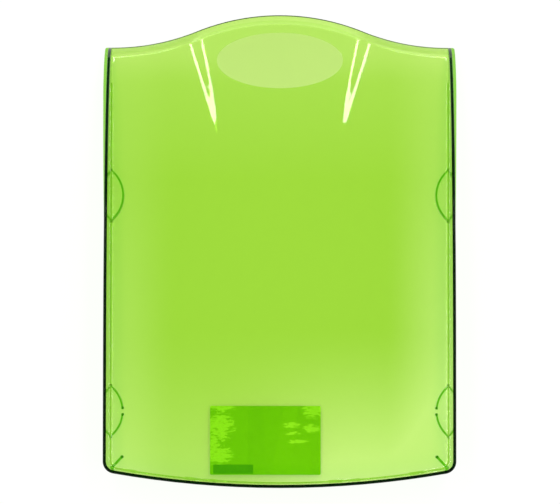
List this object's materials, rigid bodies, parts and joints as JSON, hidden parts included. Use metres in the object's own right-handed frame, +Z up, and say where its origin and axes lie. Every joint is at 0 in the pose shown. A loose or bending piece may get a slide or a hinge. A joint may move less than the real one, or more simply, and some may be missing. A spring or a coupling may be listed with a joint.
{
  "type": "letter tray",
  "caption": "Stackable letter tray in clear tinted plastic with an open wave-shaped front, a scooped tongue, sloping side walls and stacking ribs under its floor",
  "frame": {"origin": "middle of the tray's bounding box, on the desk that its ribs stand on", "axes": "+Z up, +Y from the open wave-shaped front to the closed back wall, +X to the right when the front faces the viewer"},
  "size_m": [0.2528, 0.337, 0.063],
  "materials": {
    "tray_plastic": "clear tinted lime-green injection-moulded plastic, polished, with a matt writing field on the tongue",
    "label_film": "thin self-adhesive film, bare of print"
  },
  "bodies": {
    "root": {"tray_moulding": "tray_plastic", "underside_label": "label_film"}
  },
  "joints": []
}
